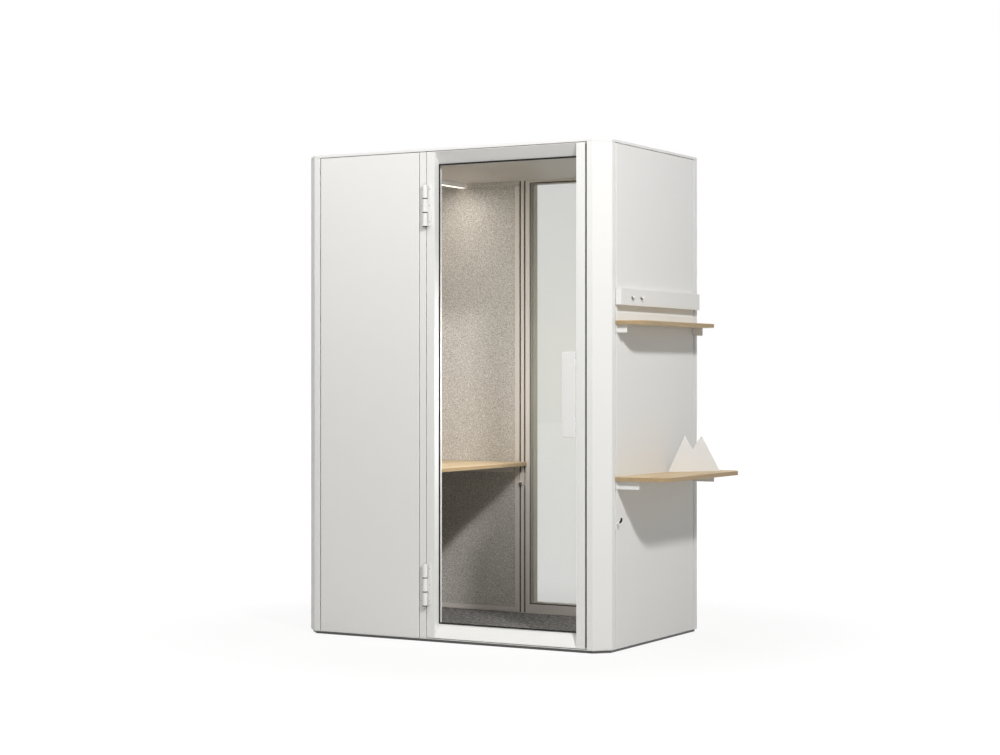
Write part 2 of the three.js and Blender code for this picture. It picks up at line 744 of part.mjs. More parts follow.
function addLight() {
  const middle = lightSideInset - innerX;
  const x = [middle - lightWidth / 2, middle + lightWidth / 2];
  const y = [lightEndGap - innerY, innerY - lightEndGap];
  const top = ceilingFoot - clearance;
  const foot = top - lightHeight;
  const channel = [
    [x[0], top], [x[0], foot], [x[0] + lightSheet, foot], [x[0] + lightSheet, top - lightSheet],
    [x[1] - lightSheet, top - lightSheet], [x[1] - lightSheet, foot], [x[1], foot], [x[1], top],
  ];
  add('light_channel', carryY(polygon(channel), y), whiteSteel);
  const inside = [x[0] + lightSheet + clearance, x[1] - lightSheet - clearance];
  add('light_diffuser', block(inside, y, [foot, foot + diffuserHeight]), opalPlastic);
}

// Desk and the steel angle that runs round under its three walled edges

function addDesk() {
  const half = innerY - trimProud - deskGap;
  const left = trimProud + deskGap - innerX;
  const foot = deskTop - deskThickness;
  add('desk_top', carryZ(roundedFarSide([left, stopLeft], [-half, half], deskCornerRadius),
    [foot, deskTop], edgeBevel, 6), oak);

  const top = foot - clearance;
  const angle = (side, face) => {
    const wall = side * (face - trimProud - clearance);
    const inward = -side;
    return polygon([
      [wall, top], [wall + inward * ledgerLeg, top], [wall + inward * ledgerLeg, top - ledgerSheet],
      [wall + inward * ledgerSheet, top - ledgerSheet], [wall + inward * ledgerSheet, top - ledgerLeg],
      [wall, top - ledgerLeg],
    ]);
  };
  const run = [clearance + trimProud - innerX, jambLeft - trimWidth];
  const across = innerY - trimProud - clearance;
  add('desk_ledger', join(
    carryY(angle(-1, innerX), [-across, across]),
    carryX(angle(-1, innerY), run),
    carryX(angle(1, innerY), run),
  ), beigeSteel);
}

// Right side

const grooveMiddle = flangeY - channelGap / 2;
const footEnd = grooveMiddle + tabThickness;
const shelfEnd = halfDepth - shelfEndInset;
const outside = halfWidth + clearance;
const channelFace = skinX - clearance;

// A channel down a groove, cut into the right panel's core.
function channel(side) {
  const y = side * grooveMiddle;
  return block([channelFace - channelDepth, skinX], [y - channelWidth / 2, y + channelWidth / 2],
    [wallFoot - 1, panelTop + 1]);
}

// A tab that reaches from outside through a groove into its channel.
function tab(side, level) {
  const y = side * grooveMiddle;
  return block([channelFace - tabReach, outside + edgeBevel], [y - tabThickness / 2, y + tabThickness / 2],
    [level - tabHeight / 2, level + tabHeight / 2]);
}

// A folded bracket: a foot flat on the wall over the groove, up to footTop, and an arm under the shelf
function shelfArm(side, shelfFoot, reach, footTop) {
  const top = shelfFoot - clearance;
  const armOuter = shelfEnd - armInset;
  const armInner = armOuter - armSheet;
  const face = outside + armSheet;
  const bent = [
    [outside, footEnd], [face, footEnd], [face, armOuter],
    [halfWidth + reach, armOuter], [halfWidth + reach, armInner], [outside, armInner],
  ];
  const armFoot = top - armHeight;
  const arm = carryZ(polygon(side > 0 ? bent : mirrorY(bent)), [armFoot, top]);
  const footY = [side * armInner, side * footEnd].sort((a, b) => a - b);
  return join(arm, block([outside, face], footY, [armFoot, footTop]), tab(side, top - armHeight / 2));
}

function shelf(back, top, thickness, depth) {
  const outline = roundedFarSide([back, halfWidth + depth], [-shelfEnd, shelfEnd], shelfCornerRadius);
  return carryZ(outline, [top - thickness, top], edgeBevel, 10);
}

function addShelves() {
  const lowerFoot = lowerShelfTop - lowerShelfThickness;
  add('lower_shelf', shelf(outside, lowerShelfTop, lowerShelfThickness, lowerShelfDepth), oak);
  for (const [name, side] of [['front', -1], ['back', 1]]) {
    const arm = shelfArm(side, lowerFoot, lowerArmReach, lowerFoot - clearance);
    add(`lower_shelf_arm_${name}`, arm, whiteSteel);
  }

  // The upper shelf stands off by the carrier's sheet, which runs up behind it into an upstand.
  const upperFoot = upperShelfTop - upperShelfThickness;
  const upstandTop = upperShelfTop + upstandHeight;
  const upperBack = outside + armSheet + clearance;
  add('upper_shelf', shelf(upperBack, upperShelfTop, upperShelfThickness, upperShelfDepth), oak);
  const upstand = block([outside, outside + armSheet], [-footEnd, footEnd],
    [upperShelfTop + clearance, upstandTop]);
  add('upper_shelf_carrier', join(upstand,
    shelfArm(-1, upperFoot, upperArmReach, upstandTop), shelfArm(1, upperFoot, upperArmReach, upstandTop),
  ), whiteSteel);
}

function addRail() {
  const x = [outside, halfWidth + railProud];
  const section = rectangle(x, [railFoot, railFoot + railHeight]);
  const body = carryY(section, [-flangeY, flangeY], edgeBevel);
  const level = railFoot + railHeight / 2;
  const pegs = [0, 1].map((i) => pegSolid()
    .rotateY(Math.PI / 2 - radians(pegTilt))
    .translate(x[1] - pegRadius, pegFirstInset - flangeY + i * pegSpacing, railFoot + pegHeight));
  add('accessory_rail', join(body, tab(-1, level), tab(1, level), ...pegs), whiteSteel);
}

// A strip hung in the front groove, with a rod bent out and up
function addSideHook() {
  const y = [-grooveMiddle - hookWidth / 2, -grooveMiddle + hookWidth / 2];
  const front = outside + hookSheet;
  const strip = carryX(rectangle(y, [hookFoot, hookFoot + hookHeight]), [outside, front], edgeBevel / 2);
  const root = hookFoot + hookArmHeight;
  const bend = new THREE.QuadraticBezierCurve3(
    new THREE.Vector3(front - hookSheet / 2, -grooveMiddle, root),
    new THREE.Vector3(halfWidth + hookReach, -grooveMiddle, root),
    new THREE.Vector3(halfWidth + hookReach, -grooveMiddle, root + hookRise),
  );
  const rod = new THREE.ExtrudeGeometry(circle(0, 0, hookRodRadius), {
    steps: 6, extrudePath: bend, bevelEnabled: false, curveSegments: 5,
  });
  add('side_hook', join(strip, rod, tab(-1, hookFoot + hookHeight - tabHeight)), whiteSteel);
}

// A thin sheet with a two-peak outline and a flat foot, standing on the lower shelf
function addBookend() {
  const at = (share, z) => [share * bookendLength, z];
  const outline = polygon([
    at(0, 0), at(1, 0), at(0.64, bookendPeak), at(0.47, bookendValley), at(0.32, bookendPeak),
  ]);
  const sheet = carryY(outline, [0, bookendSheet]);
  const [footStart] = at(0.42, 0);
  const [footStop] = at(0.92, 0);
  const foot = block([footStart, footStop], [0, bookendFoot], [0, bookendSheet]);
  const place = [halfWidth + bookendWallGap, shelfEnd - bookendEndDistance, lowerShelfTop + clearance];
  add('bookend', join(sheet, foot).rotateZ(radians(bookendTurn)).translate(...place), whiteSteel);
}

// Mains cable inlet on the back panel: a flanged gland with an open bore
function addInlet() {
  const gland = turn([
    [0, 0], [inletFlange, 0], [inletFlange, inletLength / 3], [inletRadius, inletLength / 3],
    [inletRadius, inletLength], [inletBore, inletLength], [inletBore, inletLength - inletBoreDepth],
    [0, inletLength - inletBoreDepth],
  ]).rotateX(-Math.PI / 2).translate(inletSideInset - halfWidth, halfDepth + clearance, inletZ);
  add('mains_inlet', gland, blackPlastic);
}

addBase();
addPosts();
addWalls();
addDoorSurround();
addDoor();
addPullPlate();
addHinges();
addBackWindow();
addRoof();
addLight();
addDesk();
addShelves();
addRail();
addSideHook();
addBookend();
addInlet();

export default pod;
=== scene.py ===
# Looks of a free-standing office pod: finishes, soft edges, carpet pile, screws, painted shade in gaps,
# studio and camera.
# Metres, +Z up. The pod's front faces -Y and the origin is the middle of its footprint.

import json
import math

import bmesh
import bpy
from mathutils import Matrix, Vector

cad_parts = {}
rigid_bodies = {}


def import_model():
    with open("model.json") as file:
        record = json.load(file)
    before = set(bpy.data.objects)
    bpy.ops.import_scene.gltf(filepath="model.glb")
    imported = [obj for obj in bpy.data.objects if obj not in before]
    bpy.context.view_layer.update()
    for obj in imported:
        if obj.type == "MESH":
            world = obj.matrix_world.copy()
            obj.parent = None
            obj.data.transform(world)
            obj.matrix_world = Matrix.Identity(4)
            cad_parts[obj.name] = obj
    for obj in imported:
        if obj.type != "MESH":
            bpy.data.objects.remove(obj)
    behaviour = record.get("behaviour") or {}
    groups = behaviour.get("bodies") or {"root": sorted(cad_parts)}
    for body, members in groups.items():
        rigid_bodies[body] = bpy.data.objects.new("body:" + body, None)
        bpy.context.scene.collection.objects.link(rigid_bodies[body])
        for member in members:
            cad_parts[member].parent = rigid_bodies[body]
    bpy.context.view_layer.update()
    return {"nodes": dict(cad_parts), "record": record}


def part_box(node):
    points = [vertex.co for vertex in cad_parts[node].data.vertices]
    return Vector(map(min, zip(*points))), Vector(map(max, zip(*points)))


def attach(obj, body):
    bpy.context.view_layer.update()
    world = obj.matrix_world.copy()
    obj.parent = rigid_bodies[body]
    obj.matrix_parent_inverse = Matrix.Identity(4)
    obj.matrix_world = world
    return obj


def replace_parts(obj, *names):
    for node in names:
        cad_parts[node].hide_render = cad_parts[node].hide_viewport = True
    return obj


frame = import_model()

MERGE_DISTANCE = 1e-5
FLAT_ANGLE = math.radians(1)
SHARP_ANGLE = math.radians(28)
SMOOTH_ANGLE = math.radians(40)

record = frame["record"]
slot_of = {part["node"]: part["material_slot"] for part in record["subparts"]}
body_of = {node: body for body, nodes in record["behaviour"]["bodies"].items() for node in nodes}


# Shader expressions

EVEN = (1.0, 1.0, 1.0)


class Signal:
    """A shader socket that takes part in Python arithmetic."""

    def __init__(self, finish, socket):
        self.finish = finish
        self.socket = socket

    def __add__(self, other):
        return self.finish.math("ADD", self, other)

    def __radd__(self, other):
        return self.finish.math("ADD", other, self)

    def __sub__(self, other):
        return self.finish.math("SUBTRACT", self, other)

    def __rsub__(self, other):
        return self.finish.math("SUBTRACT", other, self)

    def __mul__(self, other):
        return self.finish.math("MULTIPLY", self, other)

    def __rmul__(self, other):
        return self.finish.math("MULTIPLY", other, self)


class Finish:
    """A node tree for one finish, and the ways to add nodes to it."""

    def __init__(self, owner):
        owner.use_nodes = True
        self.tree = owner.node_tree
        self.tree.nodes.clear()

    def add(self, kind, settings=None, sockets=None, out=0):
        """Adds one node. Settings come first, then the values or links of its sockets."""
        node = self.tree.nodes.new(kind)
        for name, value in (settings or {}).items():
            if name == "stops":
                self.set_stops(node.color_ramp, value)
            else:
                setattr(node, name, value)
        for key, value in (sockets or {}).items():
            self.feed(node.inputs[key], value)
        return Signal(self, node.outputs[out])

    def feed(self, socket, value):
        if isinstance(value, Signal):
            self.tree.links.new(value.socket, socket)
        else:
            socket.default_value = value

    def set_stops(self, ramp, stops):
        while len(ramp.elements) < len(stops):
            ramp.elements.new(0.5)
        for element, (position, colour) in zip(ramp.elements, stops):
            element.position = position
            element.color = (*colour, 1.0)

    def math(self, operation, *values):
        return self.add("ShaderNodeMath", {"operation": operation}, dict(enumerate(values)))

    def place(self, scale=EVEN):
        """Object coordinates, stretched by scale."""
        where = self.add("ShaderNodeTexCoord", out="Object")
        if scale == EVEN:
            return where
        return self.add("ShaderNodeMapping", sockets={"Vector": where, "Scale": scale})

    def along(self, axis):
        """The object coordinate along one axis."""
        return self.add("ShaderNodeSeparateXYZ", sockets={0: self.place()}, out=axis)

    def noise(self, scale, detail=2.0, stretch=EVEN, distortion=0.0):
        return self.add("ShaderNodeTexNoise", sockets={
            "Vector": self.place(stretch), "Scale": scale, "Detail": detail, "Distortion": distortion,
        })

    def cells(self, scale):
        return self.add("ShaderNodeTexVoronoi", sockets={"Vector": self.place(), "Scale": scale})

    def ramp(self, signal, *stops):
        return self.add("ShaderNodeValToRGB", {"stops": stops}, {"Fac": signal})

    def blend(self, share, first, second):
        """A colour between two colours."""
        colours = {6: opaque(first), 7: opaque(second)}
        return self.add("ShaderNodeMix", {"data_type": "RGBA"}, {0: share, **colours}, out=2)

    def bump(self, height, strength, distance):
        return self.add("ShaderNodeBump", sockets={
            "Height": height, "Strength": strength, "Distance": distance,
        })

    def output(self, shader, kind="ShaderNodeOutputMaterial"):
        end = self.tree.nodes.new(kind)
        self.feed(end.inputs["Surface"], shader)


def opaque(colour):
    return colour if isinstance(colour, Signal) else (*colour, 1.0)


def surface(name, build):
    """A material whose principled shader takes the values and links that build returns."""
    material = bpy.data.materials.new(name)
    finish = Finish(material)
    finish.output(finish.add("ShaderNodeBsdfPrincipled", sockets=build(finish)))
    return material


# Finishes

LINE_LIGHT_STRENGTH = 1.4
DOOR_TINT = 0.03  # opacity of each face of the pane
WINDOW_TINT = 0.205
# width of the black band along the window gasket's edge, painted shade for its joint with the frame
WINDOW_SHADE_BAND = 0.004
WARM_PAINT = (0.74, 0.69, 0.635)


def powder_coat(colour):
    """Matt paint with a fine orange peel and a slight drift of tone over a metre."""
    def build(coat):
        peel = coat.noise(scale=750.0)
        drift = coat.noise(scale=1.2, detail=3.0)
        worn = tuple(0.965 * channel for channel in colour)
        return {
            "Base Color": coat.blend(drift, worn, colour),
            "Roughness": 0.42 + 0.12 * peel,
            "Normal": coat.bump(peel, 0.05, 0.0004),
        }
    return build


def satin_steel(steel):
    brushed = steel.noise(scale=90.0, detail=4.0, stretch=(1.0, 30.0, 30.0))
    return {
        "Base Color": steel.blend(brushed, (0.50, 0.50, 0.50), (0.64, 0.64, 0.63)),
        "Metallic": 1.0,
        "Roughness": 0.24 + 0.18 * brushed,
        "Normal": steel.bump(brushed, 0.08, 0.0003),
    }


def lacquered_oak(oak):
    """Straight-grained oak, its grain along Y, with pores, a faint figure, and sides darker than the top:
    partly an edge band, partly painted shade.
    """
    figure = oak.noise(scale=26.0, detail=3.0, stretch=(1.0, 0.045, 1.0), distortion=0.6)
    fibre = oak.noise(scale=330.0, detail=4.0, stretch=(1.0, 0.02, 1.0))
    pores = oak.noise(scale=900.0, detail=1.0, stretch=(1.0, 0.035, 1.0))
    tone = oak.ramp(
        figure, (0.28, (0.58, 0.435, 0.25)), (0.5, (0.72, 0.565, 0.36)), (0.74, (0.795, 0.65, 0.435)),
    )
    streaked = oak.add(
        "ShaderNodeMix", {"data_type": "RGBA", "blend_type": "MULTIPLY"},
        {0: 0.45, 6: tone, 7: oak.ramp(fibre, (0.3, (0.78, 0.74, 0.70)), (0.7, (1.0, 1.0, 1.0)))}, out=2,
    )
    pitted = oak.add("ShaderNodeMapRange", sockets={
        "Value": pores, "From Min": 0.62, "From Max": 0.74, "To Min": 0.0, "To Max": 0.5,
    })
    facing = oak.add("ShaderNodeTexCoord", out="Normal")
    upward = oak.add("ShaderNodeSeparateXYZ", sockets={0: facing}, out="Z")
    # Faces that don't face up or down are darkened: partly a darker edge band, partly painted shade on the
    # shelf and desk edges.
    side_band_and_shade = 0.75 * (1.0 - oak.math("ABSOLUTE", upward))
    faced = oak.blend(pitted, streaked, (0.40, 0.27, 0.13))
    return {
        "Base Color": oak.blend(side_band_and_shade, faced, (0.34, 0.235, 0.12)),
        "Roughness": 0.46 + 0.14 * fibre,
        "Normal": oak.bump(fibre - 0.6 * pitted, 0.12, 0.0005),
    }


def felt_grain(felt):
    """The flecks and fibres of pressed felt, and the tone that they give it."""
    fleck = felt.noise(scale=210.0, detail=2.0, distortion=0.6)
    fibre = felt.noise(scale=620.0, detail=2.0, distortion=1.6)
    tone = felt.ramp(
        0.7 * fleck + 0.3 * fibre,
        (0.36, (0.30, 0.285, 0.262)), (0.5, (0.55, 0.523, 0.485)), (0.64, (0.80, 0.768, 0.72)),
    )
    return fleck, fibre, tone


def wool_felt(felt):
    """Pressed felt of mixed light and dark fibres."""
    fleck, fibre, tone = felt_grain(felt)
    return {
        "Base Color": tone,
        "Roughness": 0.95,
        "Specular IOR Level": 0.1,
        "Sheen Weight": 0.15,
        "Normal": felt.bump(fleck + 0.5 * fibre, 0.5, 0.0012),
    }


def lining_trim(trim):
    """Warm paint on the strips beside and under the back felt; the strip above wears the felt itself."""
    fleck, _, tone = felt_grain(trim)
    peel = trim.noise(scale=750.0)
    painted = trim.blend(peel, (0.71, 0.665, 0.61), WARM_PAINT)
    felt_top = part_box("felt_back")[1].z
    wrapped = trim.math("GREATER_THAN", trim.along("Z"), felt_top)
    return {
        "Base Color": trim.blend(wrapped, painted, tone),
        "Roughness": 0.45 + 0.5 * wrapped,
        "Normal": trim.bump(peel + wrapped * (20.0 * fleck), 0.05, 0.0004),
    }


def loop_carpet(carpet):
    """Short loop pile of several greys."""
    loops = carpet.cells(scale=230.0)
    patch = carpet.noise(scale=75.0, detail=4.0, stretch=(1.0, 0.5, 1.0))
    yarn = carpet.noise(scale=300.0, detail=2.0)
    tone = carpet.ramp(
        0.6 * patch + 0.4 * yarn,
        (0.34, (0.055, 0.053, 0.053)), (0.5, (0.175, 0.167, 0.163)), (0.66, (0.38, 0.365, 0.355)),
    )
    return {
        "Base Color": tone,
        "Roughness": 1.0,
        "Specular IOR Level": 0.05,
        "Normal": carpet.bump(1.0 - loops, 0.6, 0.002),
    }


def laminated_pane(tint, colour):
    """Laminated glass: mostly see-through, with a faint film of dust on its gloss."""
    def build(pane):
        film = pane.noise(scale=5.0, detail=5.0)
        dusty = tuple(1.3 * channel for channel in colour)
        return {
            "Base Color": pane.blend(film, colour, dusty),
            "Roughness": 0.03 + 0.05 * film,
            "Alpha": tint,
        }
    return build


def soft_rubber(rubber):
    pores = rubber.noise(scale=900.0, detail=3.0)
    return {
        "Base Color": rubber.blend(pores, (0.005, 0.005, 0.005), (0.014, 0.014, 0.014)),
        "Roughness": 0.72 + 0.2 * pores,
        "Normal": rubber.bump(pores, 0.15, 0.0003),
    }


def window_seal(seal):
    """Warm grey gasket where it grips the pane, with a black band along the frame that is painted shade for
    the joint between them.
    """
    pores = seal.noise(scale=900.0, detail=3.0)
    low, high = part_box("window_gasket")
    middle, reach = (low + high) / 2, (high - low) / 2
    # A black band along the gasket's outer edge: painted shade where it meets the frame.
    past_side = seal.math("ABSOLUTE", seal.along("X") - middle.x) - (reach.x - WINDOW_SHADE_BAND)
    past_end = seal.math("ABSOLUTE", seal.along("Z") - middle.z) - (reach.z - WINDOW_SHADE_BAND)
    shade_band = seal.math("GREATER_THAN", seal.math("MAXIMUM", past_side, past_end), 0.0)
    grey = seal.blend(pores, (0.30, 0.285, 0.255), (0.36, 0.34, 0.31))
    return {
        "Base Color": seal.blend(shade_band, grey, (0.012, 0.011, 0.010)),
        "Roughness": 0.72 + 0.2 * pores,
        "Normal": seal.bump(pores, 0.15, 0.0003),
    }


def mineral_board(board):
    lumps = board.noise(scale=60.0, detail=6.0)
    return {
        "Base Color": board.blend(lumps, (0.40, 0.35, 0.24), (0.56, 0.50, 0.36)),
        "Roughness": 0.95,
        "Normal": board.bump(lumps, 0.4, 0.002),
    }


def moulded_plastic(plastic):
    grain = plastic.cells(scale=1400.0)
    return {
        "Base Color": plastic.blend(grain, (0.020, 0.020, 0.021), (0.034, 0.034, 0.035)),
        "Roughness": 0.5 + 0.15 * grain,
        "Normal": plastic.bump(grain, 0.12, 0.0003),
    }


def opal_cover(opal):
    """Lit opal plastic over a row of lamps."""
    haze = opal.noise(scale=120.0)
    return {
        "Base Color": opal.blend(haze, (0.88, 0.86, 0.82), (0.95, 0.94, 0.90)),
        "Roughness": 0.5,
        "Emission Color": opal.blend(haze, (1.0, 0.90, 0.77), (1.0, 0.92, 0.80)),
        "Emission Strength": LINE_LIGHT_STRENGTH,
    }


finishes = {slot: surface(slot, build) for slot, build in {
    "white_paint": powder_coat((0.87, 0.865, 0.845)),
    "warm_paint": powder_coat(WARM_PAINT),
    "dark_steel": powder_coat((0.17, 0.17, 0.165)),
    "bare_steel": satin_steel,
    "oak": lacquered_oak,
    "felt": wool_felt,
    "carpet": loop_carpet,
    "clear_glass": laminated_pane(DOOR_TINT, (0.10, 0.115, 0.10)),
    "black_rubber": soft_rubber,
    "board": mineral_board,
    "ceiling": powder_coat((0.60, 0.565, 0.515)),
    "black_plastic": moulded_plastic,
    "opal_plastic": opal_cover,
}.items()}

wrapped_trim = surface("wrapped_trim", lining_trim)
seal_with_shade_band = surface("seal_with_shade_band", window_seal)
tinted_pane = surface("tinted_glass", laminated_pane(WINDOW_TINT, (0.20, 0.21, 0.09)))


# Pieces with soft edges

def add_piece(name, mesh, body, slot, finish=None):
    piece = bpy.data.objects.new(name, mesh)
    bpy.context.scene.collection.objects.link(piece)
    if not mesh.materials:
        mesh.materials.append(finish or finishes[slot])
    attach(piece, body)
    return piece


def soften(node, radius, steps=2):
    """Stands a copy of a node with rounded edges in the node's place."""
    solid = frame["nodes"][node].data
    mesh = bpy.data.meshes.new(f"{node}_soft")
    mesh.from_pydata([v.co for v in solid.vertices], [], [tuple(p.vertices) for p in solid.polygons])
    shell = bmesh.new()
    shell.from_mesh(mesh)
    bmesh.ops.remove_doubles(shell, verts=shell.verts, dist=MERGE_DISTANCE)
    bmesh.ops.dissolve_limit(shell, angle_limit=FLAT_ANGLE, verts=shell.verts, edges=shell.edges)
    corners = [edge for edge in shell.edges if edge.calc_face_angle(0.0) > SHARP_ANGLE]
    bmesh.ops.bevel(
        shell, geom=corners, offset=radius, segments=steps, profile=0.5,
        affect="EDGES", clamp_overlap=True,
    )
    for face in shell.faces:
        face.smooth = True
    for edge in shell.edges:
        edge.smooth = edge.calc_face_angle(0.0) < SMOOTH_ANGLE
    shell.to_mesh(mesh)
    shell.free()
    piece = add_piece(f"{node}_soft", mesh, body_of[node], slot_of[node], OWN_FINISH.get(node))
    flatten = piece.modifiers.new("even_shading", "WEIGHTED_NORMAL")
    flatten.keep_sharp = True
    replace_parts(piece, node)


EDGE_RADII = {
    "white_paint": 0.0012, "warm_paint": 0.001, "dark_steel": 0.001, "bare_steel": 0.0006, "oak": 0.0012,
    "felt": 0.002, "clear_glass": 0.0006, "black_rubber": 0.0006, "ceiling": 0.001, "opal_plastic": 0.0008,
}
FINE_EDGE = 0.0004
FINE_NODES = [
    "lower_hinge_jamb_leaf", "lower_hinge_door_leaf", "lower_hinge_pin",
    "upper_hinge_jamb_leaf", "upper_hinge_door_leaf", "upper_hinge_pin",
    "side_hook", "inner_hook", "accessory_rail", "bookend",
]
PLAIN_NODES = ["fan_tray", "fan_rotor_front", "fan_rotor_back", "roof_core", "floor_deck", "mains_inlet"]
PILE_NODES = ["carpet"]
OWN_FINISH = {
    "window_glass": tinted_pane, "window_gasket": seal_with_shade_band, "felt_back_trim": wrapped_trim,
}

for node, solid in frame["nodes"].items():
    solid.data.materials.clear()
    solid.data.materials.append(finishes[slot_of[node]])
    if node in FINE_NODES:
        soften(node, FINE_EDGE, steps=1)
    elif node not in PLAIN_NODES + PILE_NODES:
        soften(node, EDGE_RADII[slot_of[node]])


# Geometry Nodes

class Recipe:
    """A geometry node tree with named inputs, run once on an empty mesh."""

    def __init__(self, name, **inputs):
        self.tree = bpy.data.node_groups.new(name, "GeometryNodeTree")
        self.tree.interface.new_socket("Geometry", in_out="OUTPUT", socket_type="NodeSocketGeometry")
        self.ids = {}
        for label, kind in inputs.items():
            socket = self.tree.interface.new_socket(label, in_out="INPUT", socket_type=f"NodeSocket{kind}")
            self.ids[label] = socket.identifier
        self.source = self.tree.nodes.new("NodeGroupInput")

    def given(self, label):
        return self.source.outputs[label]

    def add(self, kind, settings=None, sockets=None, out=0):
        node = self.tree.nodes.new(kind)
        for name, value in (settings or {}).items():
            setattr(node, name, value)
        for key, value in (sockets or {}).items():
            for one in value if isinstance(value, list) else [value]:
                if isinstance(one, bpy.types.NodeSocket):
                    self.tree.links.new(one, node.inputs[key])
                else:
                    node.inputs[key].default_value = one
        return node.outputs[out]

    def circle(self, radius, sides):
        return self.add("GeometryNodeCurvePrimitiveCircle", sockets={
            "Resolution": sides, "Radius": self.given(radius),
        })

    def repeat(self, piece):
        """Copies of a piece at even steps along a line, all turned alike."""
        line = self.add("GeometryNodeMeshLine", {"mode": "OFFSET"}, {
            "Count": self.given("Count"), "Start Location": self.given("First"), "Offset": self.given("Step"),
        })
        turn = self.add("FunctionNodeEulerToRotation", sockets={"Euler": self.given("Turn")})
        return self.add("GeometryNodeInstanceOnPoints", sockets={
            "Points": line, "Instance": piece, "Rotation": turn,
        })

    def finish(self, geometry, material):
        whole = self.add("GeometryNodeRealizeInstances", sockets={"Geometry": geometry})
        painted = self.add("GeometryNodeSetMaterial", sockets={"Geometry": whole, "Material": material})
        end = self.tree.nodes.new("NodeGroupOutput")
        self.tree.links.new(painted, end.inputs[0])

    def make(self, name, **values):
        """A plain mesh of what the tree gives for these values."""
        carrier = bpy.data.objects.new(name, bpy.data.meshes.new(name))
        bpy.context.scene.collection.objects.link(carrier)
        modifier = carrier.modifiers.new("recipe", "NODES")
        modifier.node_group = self.tree
        for label, value in values.items():
            modifier[self.ids[label]] = value
        graph = bpy.context.evaluated_depsgraph_get()
        mesh = bpy.data.meshes.new_from_object(carrier.evaluated_get(graph), depsgraph=graph)
        mesh.name = name
        bpy.data.objects.remove(carrier)
        return mesh


ROW_INPUTS = {"First": "Vector", "Step": "Vector", "Count": "Int", "Turn": "Vector"}
SCREW_SIDES = 18
SOCKET_SIDES = 6
COLLAR_SIDES = 96


def screw_row():
    """Socket-head screws in a row, each a ring round a six-sided socket."""
    row = Recipe("screw_row", **ROW_INPUTS, Radius="Float", Socket="Float", Height="Float")
    outline = row.add("GeometryNodeJoinGeometry", sockets={
        "Geometry": [row.circle("Radius", SCREW_SIDES), row.circle("Socket", SOCKET_SIDES)],
    })
    ring = row.add("GeometryNodeFillCurve", sockets={"Curve": outline})
    lift = row.add("ShaderNodeCombineXYZ", sockets={"Z": row.given("Height")})
    raised = row.add("GeometryNodeExtrudeMesh", sockets={
        "Mesh": ring, "Offset": lift, "Offset Scale": 1.0, "Individual": False,
    })
    under = row.add("GeometryNodeFlipFaces", sockets={"Mesh": ring})
    both = row.add("GeometryNodeJoinGeometry", sockets={"Geometry": [raised, under]})
    head = row.add("GeometryNodeMergeByDistance", sockets={"Geometry": both, "Distance": MERGE_DISTANCE})
    row.finish(row.repeat(head), finishes["bare_steel"])
    return row


def collar_row(slot):
    """Collars of one material in a row."""
    row = Recipe("collar_row", **ROW_INPUTS, Radius="Float", Wall="Float", Height="Float")
    section = row.add("GeometryNodeCurvePrimitiveQuadrilateral", sockets={
        "Width": row.given("Wall"), "Height": row.given("Height"),
    })
    collar = row.add("GeometryNodeCurveToMesh", sockets={
        "Curve": row.circle("Radius", COLLAR_SIDES), "Profile Curve": section,
    })
    row.finish(row.repeat(collar), finishes[slot])
    return row


def carpet_pile():
    """A closed mat whose top rises and falls with the loops of its pile."""
    mat = Recipe("carpet_pile", Size="Vector", Columns="Int", Rows="Int", Middle="Vector",
                 Loop="Float", Rise="Float")
    block = mat.add("GeometryNodeMeshCube", sockets={
        "Size": mat.given("Size"), "Vertices X": mat.given("Columns"), "Vertices Y": mat.given("Rows"),
    })
    place = mat.add("GeometryNodeInputPosition")
    above = mat.add("ShaderNodeSeparateXYZ", sockets={0: place}, out="Z")
    top = mat.add("ShaderNodeMath", {"operation": "GREATER_THAN"}, {0: above, 1: 0.0})
    loops = mat.add("ShaderNodeTexNoise", sockets={"Scale": mat.given("Loop"), "Detail": 1.0})
    drop = mat.add("ShaderNodeMath", {"operation": "SUBTRACT"}, {0: loops, 1: 1.0})
    height = mat.add("ShaderNodeMath", {"operation": "MULTIPLY"}, {0: drop, 1: mat.given("Rise")})
    rise = mat.add("ShaderNodeCombineXYZ", sockets={"Z": height})
    piled = mat.add("GeometryNodeSetPosition", sockets={
        "Geometry": block, "Selection": top, "Offset": rise,
    })
    placed = mat.add("GeometryNodeTransform", sockets={
        "Geometry": piled, "Translation": mat.given("Middle"),
    })
    mat.finish(placed, finishes["carpet"])
    return mat


# Carpet

PILE_PITCH = 0.006
PILE_RISE = 0.004
PILE_LOOPS_PER_METRE = 160.0


def add_carpet():
    low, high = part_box("carpet")
    size = high - low
    pile = carpet_pile().make(
        "carpet_loops", Size=size, Columns=round(size.x / PILE_PITCH), Rows=round(size.y / PILE_PITCH),
        Middle=(low + high) / 2, Loop=PILE_LOOPS_PER_METRE, Rise=PILE_RISE,
    )
    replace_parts(add_piece("carpet_loops", pile, "pod", "carpet"), "carpet")


add_carpet()


# Screws

